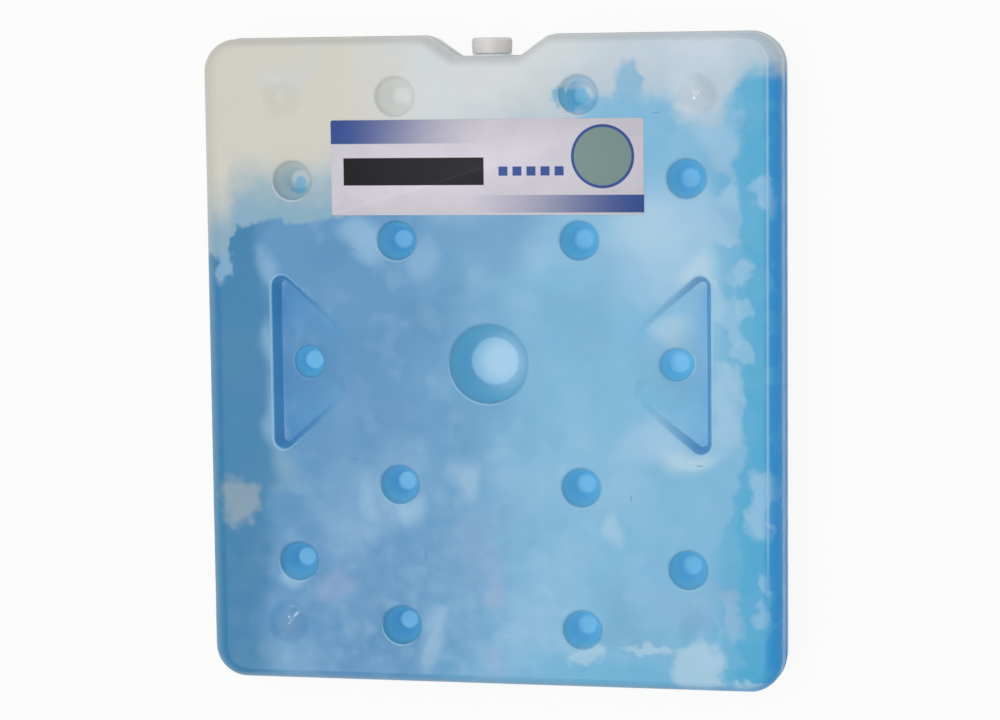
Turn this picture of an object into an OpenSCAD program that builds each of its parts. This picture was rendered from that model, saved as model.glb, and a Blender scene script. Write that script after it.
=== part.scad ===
// Reusable gel ice pack: a blow-moulded slab with weld dimples, hand grips, a capped filler neck and a gel fill.
// It lies on its back: X across, Y towards the filler cap, Z up out of the front face, back face on Z = 0.

/* [Body] */
// Width of the body across its side walls
body_w = 270; // [230:1:330]
// Height of the body from its foot to its shoulders
body_h = 301; // [260:1:360]
// Thickness of the body between its flat faces
body_t = 35; // [30:1:44]
// Plan radius of the four outer corners
corner_r = 15.5; // [10:0.5:24]
// Wall thickness of the blown shell
wall = 1.4; // [1:0.1:2]

/* [Edges] */
// Plan distance from a side wall to the crease round the flat face
edge_side = 6.2; // [3:0.1:8]
// Plan distance from the top, bottom and notch walls to that crease
edge_end = 3.8; // [2:0.1:6]
// Depth below the face at which the rounded edge has become the side wall
edge_drop = 6; // [3:0.5:9]
// Steepness of the rounded edge where it leaves the crease, in degrees
crease_angle = 35; // [15:1:50]
// Taper of the side walls from the parting line to the edge
draft = 0.5; // [0:0.1:1.5]
// Width of the ridge that the mould's parting line leaves
ridge_w = 0.9; // [0.5:0.1:2]
// Height of that ridge
ridge_h = 0.3; // [0.1:0.05:0.6]

/* [Notch] */
// Width of the filler notch at its mouth
notch_mouth_w = 57; // [48:1:80]
// Width of the notch floor
notch_floor_w = 30; // [26:1:40]
// Depth of the notch below the shoulders
notch_depth = 9.6; // [7:0.1:14]
// Radius where the shoulders turn into the notch
notch_lip_r = 8; // [4:0.5:12]
// Radius where the notch sides meet its floor
notch_root_r = 5; // [2:0.5:8]

/* [Filler neck and cap] */
// Outer radius of the filler neck
neck_r = 7.4; // [6.5:0.1:8]
// Radius of the filler bore
neck_bore_r = 5.6; // [4:0.1:6]
// Height of the neck above the notch floor
neck_h = 6.9; // [5:0.1:9]
// Radius of the collar at the foot of the neck
collar_r = 8.9; // [8.2:0.1:9.2]
// Height of that collar
collar_h = 1; // [0.6:0.1:1.5]
// Outer radius of the cap
cap_r = 9.35; // [9:0.05:11]
// Thickness of the cap's top
cap_top_t = 1.5; // [1:0.1:3]
// Radius round the cap's top edge
cap_round = 1.3; // [0.5:0.1:1.8]
// Narrowing of the cap from top to skirt
cap_taper = 0.2; // [0:0.05:0.5]
// Length of the plug under the cap's top
plug_h = 2.2; // [1:0.1:4]
// Radial clearance between the cap and the neck
cap_clear = 0.1; // [0.05:0.05:0.3]
// Gap between the cap's skirt and the collar
skirt_gap = 0.2; // [0.1:0.05:0.6]

/* [Weld dimples] */
// Rim radius of a small dimple
small_rim_r = 9.2; // [7:0.1:11]
// Floor radius of a small dimple
small_floor_r = 4.6; // [3:0.1:6]
// Rim radius of the large middle dimple
large_rim_r = 18.6; // [14:0.1:24]
// Floor radius of the large middle dimple
large_floor_r = 11.2; // [7:0.1:13]
// Radius round the rim of every dimple
rim_round = 1.4; // [0.6:0.1:1.8]
// Columns of the inner dimples, from the middle line
inner_x = 42.7; // [38:0.1:50]
// Distance of the outer dimples' columns from the side walls
outer_edge = 43; // [36:0.1:46]
// Distance of the end rows of dimples from the top and bottom edges
end_edge = 27.7; // [26:0.1:30]
// Rows of the dimples above and below the middle
mid_y = 56.7; // [50:0.1:60]
// Row of the outer dimples beside the label
upper_y = 84.6; // [76:0.1:92]
// Row of the outer dimples near the foot
lower_y = 93.8; // [84:0.1:96]

/* [Hand grips] */
// Distance of a grip's outer wall from the body's side wall
grip_edge = 32; // [26:0.5:38]
// Width of the grip, from its outer wall to the line where its floor meets the face
grip_reach = 34.4; // [28:0.2:42]
// Distance of the dimple in the grip from the grip's outer wall
grip_dimple_in = 16.4; // [14:0.1:20]
// Depth of the grip at its outer wall
grip_depth = 9; // [6:0.5:10]
// Slope of the grip's end walls in plan, in degrees
grip_slant = 40.8; // [30:0.2:48]
// Height of the grip where its floor meets the face
grip_in_h = 34; // [24:1:44]
// Taper of its walls between face and floor
grip_draft = 2.6; // [1:0.1:4]
// Radius of its two outer corners
grip_corner_r = 5; // [3.5:0.5:8]

/* [Stacking knobs] */
// Radius of a stacking knob and of the socket for it
knob_r = 11; // [8:0.5:12]
// Height of a knob
knob_h = 2.4; // [1:0.1:4]
// Distance of the knobs' and sockets' columns from the side walls
knob_edge = 38; // [30:0.5:42]

/* [Label] */
// Width of the label
label_w = 145.6; // [100:0.2:155]
// Height of the label
label_h = 43.6; // [30:0.2:44]
// Thickness of the label
label_t = 0.25; // [0.1:0.05:0.5]
// How far the label sits above the middle between the two rows of dimples
label_lift = 0.6; // [0:0.1:1]
// Radius of the label's corners
label_corner_r = 0.8; // [0.2:0.1:4]

/* [Gel] */
// Clearance between the gel and the inside of the shell
gel_clear = 0.3; // [0.2:0.05:0.6]
// Empty height above the gel at the left wall, from the shoulders down
void_left = 88.5; // [50:0.5:110]
// Empty height above the gel at the right wall
void_right = 19.5; // [10:0.5:60]
// Empty height above the gel at the middle line
void_mid = 70.5; // [40:0.5:110]

/* [Hidden] */
half_t = body_t / 2;
notch_y = body_h / 2 - notch_depth;
weld_t = 2 * wall;
weld_depth = half_t - weld_t / 2;
outer_x = body_w / 2 - outer_edge;
end_y = body_h / 2 - end_edge;
grip_out_x = body_w / 2 - grip_edge;
grip_in_x = grip_out_x - grip_reach;
grip_dimple_x = grip_out_x - grip_dimple_in;
knob_x = body_w / 2 - knob_edge;
label_y = (end_y + mid_y) / 2 + label_lift;
// How far a cutter runs past the surface that it opens, and how far a welded pair of hollows overlaps
past = 2;
overlap = 0.4;
// A crease is cut back by this depth and spreads this share of its edge inwards, so that it is soft
crease_cut = 0.18;
crease_spread = 0.22;
// Share of a grip wall's height at which its rim starts to flare, and the inset there and at the flare's end
flare_from = 0.727;
flare_in = 0.25;
flare_out = -1.6;
// Steps round an outer corner, a notch corner and the rounded edge, for the outside and for the hollow
outside_steps = [12, 6, 6];
inside_steps = [6, 3, 4];
ROUND = 96;

// Small plane geometry
function turned(v) = [-v[1], v[0]];
function cross2(a, b) = a[0] * b[1] - a[1] * b[0];
function unit(v) = v / norm(v);
function spun(v, a) = [v[0] * cos(a) - v[1] * sin(a), v[0] * sin(a) + v[1] * cos(a)];
function meet(p, u, q, v) = p + u * cross2(q - p, v) / cross2(u, v);

// A closed outline moved inwards by its own distance at each side, its corners rounded with the given steps
function inset_outline(pts, radii, insets, steps) =
    let (n = len(pts))
    let (dirs = [for (i = [0:n - 1]) unit(pts[(i + 1) % n] - pts[i])])
    let (starts = [for (i = [0:n - 1]) pts[i] + turned(dirs[i]) * insets[i]])
    [for (i = [0:n - 1])
        let (h = (i + n - 1) % n)
        let (corner = meet(starts[h], dirs[h], starts[i], dirs[i]))
        let (turn = atan2(cross2(dirs[h], dirs[i]), dirs[h] * dirs[i]))
        let (way = turn < 0 ? -1 : 1)
        let (r = max(radii[i] - way * (insets[h] + insets[i]) / 2, 0.6))
        let (from = corner - dirs[h] * r * tan(abs(turn) / 2))
        let (centre = from + turned(dirs[h]) * way * r)
        for (k = [0:steps[i]]) centre + spun(from - centre, turn * k / steps[i])];

// A solid through a stack of closed rings with equal counts, from the lowest to the highest
module lofted(rings) {
    n = len(rings[0]);
    m = len(rings);
    function middle(ring) = [for (a = [0:2]) [for (p = ring) p[a]] * [for (p = ring) 1 / n]];
    points = concat([for (ring = rings) for (p = ring) p], [middle(rings[0]), middle(rings[m - 1])]);
    sides = [for (i = [0:m - 2]) for (j = [0:n - 1])
        let (a = i * n + j, b = i * n + (j + 1) % n)
        for (face = [[a, a + n, b + n], [a, b + n, b]]) face];
    floor_cap = [for (j = [0:n - 1]) [m * n, j, (j + 1) % n]];
    roof_cap = [for (j = [0:n - 1]) [m * n + 1, (m - 1) * n + (j + 1) % n, (m - 1) * n + j]];
    polyhedron(points = points, faces = concat(sides, floor_cap, roof_cap), convexity = 6);
}

// The body's plan, anticlockwise from the lower right corner, with the notch in its top edge
body_plan = [
    [body_w / 2, -body_h / 2], [body_w / 2, body_h / 2],
    [notch_mouth_w / 2, body_h / 2], [notch_floor_w / 2, notch_y],
    [-notch_floor_w / 2, notch_y], [-notch_mouth_w / 2, body_h / 2],
    [-body_w / 2, body_h / 2], [-body_w / 2, -body_h / 2]];
body_radii = [corner_r, corner_r, notch_lip_r, notch_root_r, notch_root_r, notch_lip_r, corner_r, corner_r];
body_edges = [edge_side, edge_end, edge_end, edge_end, edge_end, edge_end, edge_side, edge_end];

// The edge from the face to the parting line: share of the edge's width, depth, extra growth outwards
function edge_levels(steps, gap) =
    let (half = half_t - gap)
    let (turn = (90 - crease_angle) / steps)
    concat(
        gap == 0 ? [[1 + crease_spread, 0, 0]] : [],
        [[1, crease_cut, 0]],
        [for (k = [1:steps])
            let (a = crease_angle + k * turn)
            [(1 - sin(a)) / (1 - sin(crease_angle)), edge_drop * (1 - cos(a) / cos(crease_angle)), 0]],
        gap == 0 ? [[0, half - ridge_w, 0], [0, half - ridge_w / 2, ridge_h]] : [[0, half - ridge_w, 0]]);

function body_ring(level, gap, z, steps) =
    let (inwards = gap + draft * (1 - level[1] / half_t) - level[2])
    let (insets = [for (e = body_edges) e * level[0] + inwards])
    let (counts = [for (i = [0:7]) i > 1 && i < 6 ? steps[1] : steps[0]])
    [for (p = inset_outline(body_plan, body_radii, insets, counts)) [p[0], p[1], z]];

module slab(gap, steps) {
    levels = edge_levels(steps[2], gap);
    top = len(levels) - 1;
    lofted(concat(
        [for (i = [0:top]) body_ring(levels[i], gap, gap + levels[i][1], steps)],
        [for (i = [0:top]) let (v = levels[top - i]) body_ring(v, gap, body_t - gap - v[1], steps)]));
}

// Copies for the front face and, mirrored through the middle of the body, for the back face
module both_faces() {
    children();
    translate([0, 0, body_t]) mirror([0, 0, 1]) children();
}

// The space of one dimple, open at the front face, with its rounded rim; grown by gap it clears the wall
module dimple(rim_r, floor_r, gap) {
    lean = atan((rim_r - floor_r) / weld_depth);
    grow = gap / cos(lean);
    function line_r(depth) = rim_r - depth * tan(lean) + grow;
    bottom = gap == 0 ? weld_depth : half_t + overlap;
    // A round of circular steps from the wall of the cone out to the face, run on past it
    centre_r = line_r(rim_round) + rim_round / cos(lean);
    steps = 4;
    arc = [for (k = [0:steps]) let (a = lean + (90 - lean) * k / steps)
        [centre_r - rim_round * cos(a), rim_round - rim_round * sin(a)]];
    last = 2 * arc[steps] - arc[steps - 1];
    rim = gap == 0 ? concat(arc, [last, [0, last[1]]]) : [[line_r(gap - past), gap - past], [0, gap - past]];
    translate([0, 0, body_t]) rotate_extrude($fn = ROUND)
        polygon([for (p = concat([[0, bottom], [line_r(bottom), bottom]], rim)) [p[0], -p[1]]]);
}

module dimples(gap) {
    both_faces() {
        dimple(large_rim_r, large_floor_r, gap);
        for (s = [-1, 1]) {
            for (y = [end_y, mid_y, -mid_y, -end_y])
                translate([s * inner_x, y, 0]) dimple(small_rim_r, small_floor_r, gap);
            for (y = [upper_y, -lower_y])
                translate([s * outer_x, y, 0]) dimple(small_rim_r, small_floor_r, gap);
            translate([s * grip_dimple_x, 0, 0]) dimple(small_rim_r, small_floor_r, gap);
        }
    }
}

// The space of one grip: a D in plan, deepest at its outer wall, its floor rising to the face
module grip(gap) {
    run = 4;
    slant = tan(grip_slant);
    out_y = grip_in_h / 2 + (grip_out_x - grip_in_x) * slant;
    in_y = grip_in_h / 2 - run * slant;
    plan = [[grip_out_x, -out_y], [grip_out_x, out_y], [grip_in_x - run, in_y], [grip_in_x - run, -in_y]];
    radii = [grip_corner_r, grip_corner_r, 1, 1];
    slope = grip_depth / (grip_out_x - grip_draft - grip_in_x);
    top = body_t + past;
    function ring(share, inset) =
        [for (p = inset_outline(plan, radii, [inset - gap, inset - gap, 0, inset - gap], [8, 8, 2, 2]))
            let (low = body_t - gap - (p[0] - grip_in_x) * slope)
            [p[0], p[1], low + share * (top - low)]];
    lofted([ring(0, grip_draft), ring(flare_from, flare_in), ring(1, flare_out)]);
}

module grips(gap) {
    both_faces() for (s = [0, 1]) mirror([s, 0, 0]) grip(gap);
}

// A bell-shaped bump on the front face, closed below it
module knob(sink) {
    steps = 9;
    bell = [for (k = [0:steps]) [knob_r * k / steps, knob_h * (1 + cos(180 * k / steps)) / 2 - 0.05]];
    translate([0, 0, body_t - sink]) rotate_extrude($fn = ROUND)
        polygon(concat(bell, [[knob_r, -wall / 2], [0, -wall / 2]]));
}

// The same bell as a hollow in the front face
module socket(sink) {
    translate([0, 0, 2 * (body_t - sink)]) mirror([0, 0, 1]) knob(sink);
}

// Knobs stand at two corners of the front, sockets at its other two and behind the knobs
module knobs(gap) {
    for (s = [-1, 1]) translate([s * knob_x, s * end_y, 0]) knob(gap);
}

module sockets(gap) {
    for (s = [-1, 1]) {
        translate([s * knob_x, -s * end_y, 0]) socket(gap);
        translate([s * knob_x, s * end_y, body_t]) mirror([0, 0, 1]) socket(gap);
    }
}

// The body's outer form at gap 0, and its hollow at the wall's thickness
module body_form(gap, steps) {
    difference() {
        union() {
            slab(gap, steps);
            knobs(gap);
        }
        dimples(gap);
        grips(gap);
        sockets(gap);
    }
}

module on_neck() {
    translate([0, notch_y, half_t]) rotate([-90, 0, 0]) children();
}

module neck() {
    rotate_extrude($fn = ROUND) polygon([
        [0, -wall / 2], [collar_r, -wall / 2], [collar_r, collar_h - 0.3], [collar_r - 0.3, collar_h],
        [neck_r, collar_h], [neck_r, neck_h - 0.4], [neck_r - 0.4, neck_h], [0, neck_h]]);
}

module shell() {
    color("#a9cfe6") difference() {
        union() {
            body_form(0, outside_steps);
            on_neck() neck();
        }
        body_form(wall, inside_steps);
        on_neck() translate([0, 0, -wall - past]) cylinder(r = neck_bore_r, h = neck_h + wall + 2 * past, $fn = ROUND);
    }
}

// The gel fills the hollow up to a surface that set higher on the right
module gel_fill() {
    side = body_w / 2;
    top = body_h / 2;
    far = body_w;
    color("#5aa6d6") intersection() {
        body_form(wall + gel_clear, inside_steps);
        linear_extrude(height = body_t) polygon([
            [-far, -far], [far, -far], [far, top - void_right], [0.62 * side, top - void_right - 6],
            [0.3 * side, top - (void_mid + void_right) / 2], [0, top - void_mid],
            [-0.55 * side, top - void_left + 4], [-far, top - void_left]]);
    }
}

module filler_cap() {
    skirt_r = neck_r + cap_clear;
    plug_r = neck_bore_r - cap_clear;
    foot = collar_h + skirt_gap;
    top = neck_h + cap_top_t;
    steps = 5;
    color("#e4dfdc") on_neck() rotate_extrude($fn = ROUND) polygon(concat(
        [[0, top]],
        [for (k = [0:steps]) let (a = 90 - 90 * k / steps)
            [cap_r - cap_round + cap_round * cos(a), top - cap_round + cap_round * sin(a)]],
        [[cap_r - cap_taper, foot + 0.3], [cap_r - cap_taper - 0.3, foot], [skirt_r, foot], [skirt_r, neck_h],
            [plug_r, neck_h], [plug_r, neck_h - plug_h + 0.4], [plug_r - 0.4, neck_h - plug_h],
            [0, neck_h - plug_h]]));
}

module label() {
    corner = label_corner_r;
    color("#eceaf2") translate([-label_w / 2, label_y - label_h / 2, body_t]) linear_extrude(height = label_t)
        union() {
            translate([corner, 0]) square([label_w - 2 * corner, label_h]);
            translate([0, corner]) square([label_w, label_h - 2 * corner]);
            for (x = [corner, label_w - corner]) for (y = [corner, label_h - corner])
                translate([x, y]) circle(r = corner, $fn = 24);
        }
}

shell();
gel_fill();
filler_cap();
label();
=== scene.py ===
"""Finishes a blow-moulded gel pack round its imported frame: the shell, its cap, its label, the gel and a plain studio.

Lengths are in metres in the frame's axes: X across, Y towards the filler cap, Z up out of the front face.
"""

import math

import bmesh
import bpy
from bpy.props import FloatProperty, FloatVectorProperty, IntProperty, PointerProperty
from mathutils import Matrix, Vector


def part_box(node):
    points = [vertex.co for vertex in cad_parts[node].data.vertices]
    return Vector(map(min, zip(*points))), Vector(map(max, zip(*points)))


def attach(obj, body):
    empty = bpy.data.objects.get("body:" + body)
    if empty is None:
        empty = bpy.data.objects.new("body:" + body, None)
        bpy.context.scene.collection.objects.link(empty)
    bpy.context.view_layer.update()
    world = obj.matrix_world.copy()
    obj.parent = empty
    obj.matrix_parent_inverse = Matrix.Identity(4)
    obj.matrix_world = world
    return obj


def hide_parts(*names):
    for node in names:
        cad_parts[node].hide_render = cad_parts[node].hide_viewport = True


bl_info = {
    "name": "Gel Pack Finish",
    "version": (1, 0, 0),
    "blender": (4, 5, 0),
    "location": "3D View > Sidebar > Gel Pack",
    "description": "Builds the shell, cap, label, gel and studio of a blow-moulded gel freezer pack",
    "category": "Object",
}

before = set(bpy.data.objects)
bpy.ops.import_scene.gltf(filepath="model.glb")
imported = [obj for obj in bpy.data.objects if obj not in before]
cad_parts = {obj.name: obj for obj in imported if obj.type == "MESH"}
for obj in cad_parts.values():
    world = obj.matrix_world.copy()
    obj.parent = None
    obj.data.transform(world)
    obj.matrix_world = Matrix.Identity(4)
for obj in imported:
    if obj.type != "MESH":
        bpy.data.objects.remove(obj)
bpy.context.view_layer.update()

MM = 0.001
# The mould's parting ridge stands this far outside the side walls
RIDGE_PROUD = 0.287 * MM
SHELL_LOW, SHELL_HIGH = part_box("shell")
FACE_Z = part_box("label")[0].z
MERGE = 0.001 * MM
# Vertex values that tell the shell's material where its edges, creases, hollows and knobs are, and where it paints
# light and shade: rim holds a painted highlight's share, glow a painted glow's strength, shade where painted shade lies
MARKS = ("edge", "crease", "wall", "floor", "glow", "knob", "rim", "shade")
# The photograph's frame in pixels, and the focal length in pixels that was fitted to it
PHOTO_WIDTH = 1000
FOCAL_PIXELS = 2783.7
SENSOR_MM = 36.0


def linear(hex_code):
    """The linear colour of an sRGB hex value such as "6699C4"."""
    parts = [int(hex_code[i:i + 2], 16) / 255 for i in (0, 2, 4)]
    return tuple(p / 12.92 if p <= 0.04045 else ((p + 0.055) / 1.055) ** 2.4 for p in parts)


def length(name, millimetres, description):
    """A size that a user can change, given here in millimetres."""
    return FloatProperty(name=name, description=description, default=millimetres * MM, min=0.0, unit="LENGTH")


def tint(name, hex_code, description):
    """A colour that a user can change, given here as an sRGB hex value."""
    return FloatVectorProperty(name=name, description=description, default=linear(hex_code), size=3,
                               min=0.0, max=1.0, subtype="COLOR")


class ShellSizes(bpy.types.PropertyGroup):
    """Sizes of the moulded shell."""

    width: length("Width", (SHELL_HIGH.x - SHELL_LOW.x - 2 * RIDGE_PROUD) / MM, "Width across the side walls")
    height: length("Height", (SHELL_HIGH.y - SHELL_LOW.y - 2 * RIDGE_PROUD) / MM, "Foot to shoulders")
    thickness: length("Thickness", FACE_Z / MM, "Between the two flat faces")
    wall: length("Wall", 1.4, "Wall of the blown shell")
    corner_r: length("Corner radius", 15.5, "Plan radius of the four outer corners")
    edge_side: length("Side edge", 6.2, "Side wall to the crease round the face")
    edge_end: length("End edge", 3.8, "Top, bottom and notch walls to that crease")
    edge_drop: length("Edge drop", 6.0, "Depth at which the rounded edge has become the side wall")
    crease_angle: FloatProperty(name="Crease angle", description="Steepness of the edge where it leaves the crease",
                                default=math.radians(35), subtype="ANGLE")
    draft: length("Draft", 0.5, "Taper of a side wall from the parting line to the face")
    ridge_w: length("Ridge width", 0.9, "Width of the parting ridge")
    ridge_h: length("Ridge height", 0.3, "Height of the parting ridge")
    notch_mouth: length("Notch mouth", 57, "Width of the filler notch at its mouth")
    notch_floor: length("Notch floor", 30, "Width of the filler notch at its floor")
    notch_depth: length("Notch depth", 9.6, "Depth of the filler notch")
    notch_lip_r: length("Notch lip radius", 8, "Radius where the shoulders turn into the notch")
    notch_root_r: length("Notch root radius", 5, "Radius where its sides meet its floor")


class DimpleSizes(bpy.types.PropertyGroup):
    """Sizes and places of the weld dimples."""

    small_rim_r: length("Small rim radius", 9.2, "Rim radius of a small dimple")
    small_floor_r: length("Small floor radius", 4.6, "Floor radius of a small dimple")
    large_rim_r: length("Large rim radius", 18.6, "Rim radius of the middle dimple")
    large_floor_r: length("Large floor radius", 11.2, "Floor radius of the middle dimple")
    rim_round: length("Rim round", 1.4, "Radius round every rim")
    floor_round: length("Floor round", 1.3, "Radius where a wall meets its floor")
    inner_x: length("Inner columns", 42.7, "Inner columns, from the middle line")
    outer_edge: length("Outer columns", 43, "Outer columns, from the side walls")
    end_edge: length("End rows", 27.7, "End rows, from the top and bottom edges")
    mid_y: length("Middle rows", 56.7, "Rows above and below the middle")
    upper_y: length("Upper row", 84.6, "Row of the outer dimples beside the label")
    lower_y: length("Lower row", 93.8, "Row of the outer dimples near the foot")
    knob_r: length("Knob radius", 11, "Radius of a stacking knob and of its socket")
    knob_h: length("Knob height", 2.4, "Height of a stacking knob")
    knob_edge: length("Knob columns", 38, "Knobs and sockets, from the side walls")
    turns: IntProperty(name="Steps round", description="Steps round each dimple and knob", default=64, min=16)


class GripSizes(bpy.types.PropertyGroup):
    """Sizes of the hand grips."""

    edge: length("Outer wall", 32, "Outer wall of a grip, from the body's side wall")
    reach: length("Reach", 34.4, "Outer wall to the line where the floor meets the face")
    dimple_in: length("Dimple", 16.4, "Dimple in the grip, from its outer wall")
    depth: length("Depth", 9, "Depth at the outer wall")
    inner_h: length("Inner height", 34, "Height where the floor meets the face")
    slant: FloatProperty(name="Slant", description="Slope of the end walls in plan",
                         default=math.radians(40.8), subtype="ANGLE")
    corner_r: length("Corner radius", 5, "Radius of the two outer corners")
    draft: length("Draft", 2.6, "Taper of the walls between face and floor")


class CapSizes(bpy.types.PropertyGroup):
    """Sizes of the filler neck and its cap."""

    neck_r: length("Neck radius", 7.4, "Outer radius of the neck")
    bore_r: length("Bore radius", 5.6, "Radius of the filler bore")
    neck_h: length("Neck height", 6.9, "Height of the neck above the notch floor")
    collar_r: length("Collar radius", 8.9, "Radius of the collar at the neck's foot")
    collar_h: length("Collar height", 1.0, "Height of that collar")
    cap_r: length("Cap radius", 9.35, "Outer radius of the cap")
    top_t: length("Cap top", 1.5, "Thickness of the cap's top")
    rounding: length("Cap round", 1.3, "Radius round the cap's top edge")
    taper: length("Cap taper", 0.2, "Narrowing of the cap towards its skirt")
    clear: length("Clearance", 0.1, "Clearance between cap and neck")
    skirt_gap: length("Skirt gap", 0.2, "Gap between skirt and collar")
    plug_h: length("Plug", 2.2, "Length of the plug under the cap's top")


class PackColours(bpy.types.PropertyGroup):
    """Colours of the pack as plain daylight shows them."""

    # Lighter to the right: partly the gel's own hue, partly painted light
    gel_left: tint("Gel, left", "5B98C8", "Gel behind the left part of the face")
    gel_right: tint("Gel, right", "7DBDE1", "Gel behind the right part of the face")
    gel_deep: tint("Gel, left margin", "2F80B0", "Gel in the deep left margin")
    gel_cyan: tint("Gel, right margin", "44AEDA", "Gel in the deep right margin")
    # The edge tints also carry the painted shade of the rounded edges
    gel_edge: tint("Gel, right edge", "2493DA", "Gel behind the rounded right edge")
    gel_foot: tint("Gel, other edges", "6C9FC2", "Gel behind the left and bottom edges")
    # Pale gel, also used for a painted sheen at the upper right
    gel_pale_and_sheen: tint("Pale gel", "A8D1EC", "Where the gel stands away from the wall")
    gel_white: tint("Air pocket", "C2DFEF", "Air pockets against the wall")
    lavender: tint("Lavender", "A0B2D8", "Thin gel over the bare wall")
    beige: tint("Bare wall", "93AAB6", "Bare wall low on the left")
    void_left: tint("Bare shell, left", "D9D6CA", "Empty shell at the upper left")
    void_middle: tint("Bare shell, middle", "DADFE0", "Empty shell over the middle")
    void_right: tint("Bare shell, right", "CDDDEA", "Empty shell at the upper right")
    # Painted shade: the bare shell greyer on steep walls, hollow floors and rounded edges
    void_wall: tint("Bare shell, slanted", "BCC1C1", "Empty shell where its wall is steep")
    # Painted highlight on rims and creases of the bare shell
    void_rim_highlight: tint("Bare shell, crease", "DFE4E6", "Creases of the empty shell")
    film: tint("Gel film", "82AFC8", "Thin film of gel above the fill line")
    # The hollows' wall and floor tints are lighter than the face: painted light against the shade inside the hollows,
    # and the welded floors' own paler colour
    wall: tint("Hollow, wall", "5CB0D2", "Steep walls of the hollows")
    # Painted shade on the grips' outer and end walls
    grip_wall: tint("Grip wall", "3E8FC4", "Outer and end walls of the hand grips")
    floor: tint("Hollow, floor", "68B8D8", "Welded floors of the hollows")
    knob: tint("Knob", "7FA2CC", "Top of a stacking knob")
    # Painted highlight on rims and creases over the gel
    gel_rim_highlight: tint("Rim light", "A8D6EE", "Rims and creases, where the wall is thick")
    cap: tint("Cap", "E4DFDC", "Milky filler cap")
    cap_shade: tint("Cap, shade", "D6D2D4", "Thicker places of the cap")
    label: tint("Label", "ECE7F1", "Bare film of the label")
    label_shade: tint("Label, shade", "E0DBE8", "Where the film lies less flat")
    ink_blue: tint("Blue ink", "3C5CA8", "Deep end of the blue print")
    ink_black: tint("Black ink", "17141A", "Bar on the label")
    ink_sage: tint("Sage ink", "8AA6A2", "Disc on the label")


class StudioSettings(bpy.types.PropertyGroup):
    """Camera and lights."""

    distance: FloatProperty(name="Distance", description="Camera to the face, along the view", default=1.2783,
                            unit="LENGTH")
    yaw: FloatProperty(name="Yaw", description="Turn of the view about the pack's height",
                       default=math.radians(-11.689), subtype="ANGLE")
    pitch: FloatProperty(name="Pitch", description="Turn of the view about the pack's width",
                         default=math.radians(5.606), subtype="ANGLE")
    roll: FloatProperty(name="Roll", description="Turn of the view about its own line",
                        default=math.radians(0.66), subtype="ANGLE")
    shift_x: length("Shift X", 5.43, "Sideways step of the view off the face's centre")
    shift_y: length("Shift Y", 1.96, "Upward step of the view off the face's centre")
    key_power: FloatProperty(name="Key power", description="Power of the key light", default=1.5, unit="POWER")
    front_power: FloatProperty(name="Front power", description="Power of the lamp beside the camera", default=1.6,
                               unit="POWER")
    glint_power: FloatProperty(name="Glint power", description="Power of a small lamp", default=1.0,
                               unit="POWER")
    fill: FloatProperty(name="Fill", description="Strength of the even light from all round", default=0.6)


class PackSettings(bpy.types.PropertyGroup):
    """All that the panel shows."""

    shell: PointerProperty(type=ShellSizes)
    dimples: PointerProperty(type=DimpleSizes)
    grips: PointerProperty(type=GripSizes)
    cap: PointerProperty(type=CapSizes)
    colours: PointerProperty(type=PackColours)
    studio: PointerProperty(type=StudioSettings)


def settings():
    return bpy.context.scene.gel_pack


# Mesh helpers

def finish_mesh(bm, name):
    """Turns a bmesh into an object whose smooth faces all point outwards."""
    bmesh.ops.remove_doubles(bm, verts=bm.verts, dist=MERGE)
    bmesh.ops.dissolve_degenerate(bm, edges=bm.edges, dist=MERGE)
    bmesh.ops.recalc_face_normals(bm, faces=bm.faces)
    for face in bm.faces:
        face.smooth = True
    mesh = bpy.data.meshes.new(name)
    bm.to_mesh(mesh)
    bm.free()
    piece = bpy.data.objects.new(name, mesh)
    bpy.context.scene.collection.objects.link(piece)
    return piece


def weigh_normals(piece):
    """Flat faces keep their own normal, so that the rounds beside them carry the turn."""
    weigh = piece.modifiers.new("weigh_normals", "WEIGHTED_NORMAL")
    weigh.mode = "FACE_AREA"
    weigh.weight = 70
    weigh.keep_sharp = True


def join(bm, part):
    """Adds a finished part to a mesh, and gives back its vertices there."""
    for v in bm.verts:
        v.tag = True
    carrier = bpy.data.meshes.new("carrier")
    part.to_mesh(carrier)
    part.free()
    bm.from_mesh(carrier)
    bpy.data.meshes.remove(carrier)
    return [v for v in bm.verts if not v.tag]


def spin_profile(bm, points, centre, steps):
    """A full turn of a profile of (radius, height) points about a vertical axis through the centre."""
    part = bmesh.new()
    verts = [part.verts.new((centre[0] + r, centre[1], z)) for r, z in points]
    edges = [part.edges.new(pair) for pair in zip(verts, verts[1:])]
    bmesh.ops.spin(part, geom=verts + edges, cent=(*centre, 0), axis=(0, 0, 1), angle=math.tau, steps=steps,
                   use_merge=True)
    return join(bm, part)


def rounded_loop(bm, corners, radii, steps, cuts=0):
    """A closed loop through the corners, anticlockwise, each corner turned on its own radius by a spin."""
    part = bmesh.new()
    ends = []
    for i, corner in enumerate(corners):
        arrive = (corner - corners[i - 1]).normalized()
        leave = (corners[(i + 1) % len(corners)] - corner).normalized()
        way = 1 if arrive.cross(leave).z > 0 else -1
        turn = way * arrive.angle(leave)
        start = corner - arrive * radii[i] * math.tan(abs(turn) / 2)
        centre = start + Vector((-arrive.y, arrive.x, 0)) * way * radii[i]
        first = part.verts.new(start)
        spun = bmesh.ops.spin(part, geom=[first], cent=centre, axis=(0, 0, 1), angle=turn, steps=steps[i])
        ends.append((first, next(v for v in spun["geom_last"] if isinstance(v, bmesh.types.BMVert))))
    straight = [part.edges.new((ends[i - 1][1], first)) for i, (first, _) in enumerate(ends)]
    if cuts:
        bmesh.ops.subdivide_edges(part, edges=straight, cuts=cuts)
    loop = set(join(bm, part))
    return [e for e in bm.edges if e.verts[0] in loop]


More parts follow.
